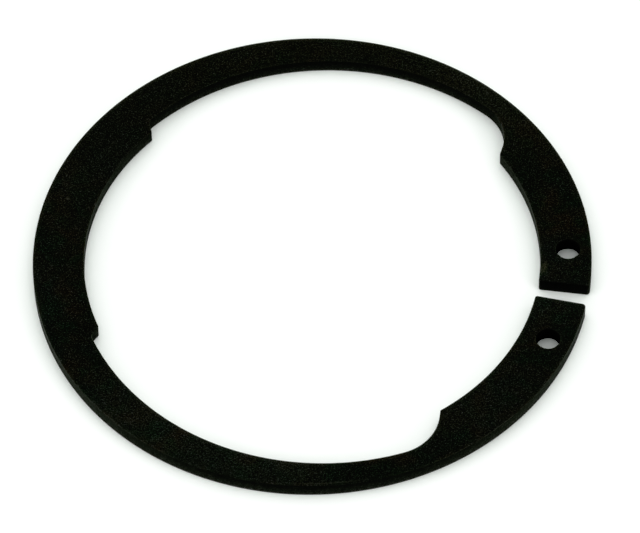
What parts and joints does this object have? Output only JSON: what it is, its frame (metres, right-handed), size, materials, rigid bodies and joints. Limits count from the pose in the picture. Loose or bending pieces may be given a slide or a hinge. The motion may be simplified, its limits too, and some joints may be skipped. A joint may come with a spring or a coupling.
{
  "type": "circlip retaining ring",
  "caption": "Flat spring-steel retaining ring for a shaft groove, split, with inward lugs drilled for pliers, a rear seat pad and shallow recesses between.",
  "frame": {"origin": "on the axis of the round outer edge, at the face the ring rests on", "axes": "+Z along the ring's axis, out of the face with the rolled stamped edge; +X along the line of symmetry of the seat pads and plier holes, through the gap"},
  "size_m": [0.068, 0.068, 0.002],
  "materials": {
    "black_spring_steel": "matt black phosphate and oil on stamped, tumbled spring steel"
  },
  "bodies": {
    "root": {"retaining_ring": "black_spring_steel"}
  },
  "joints": []
}
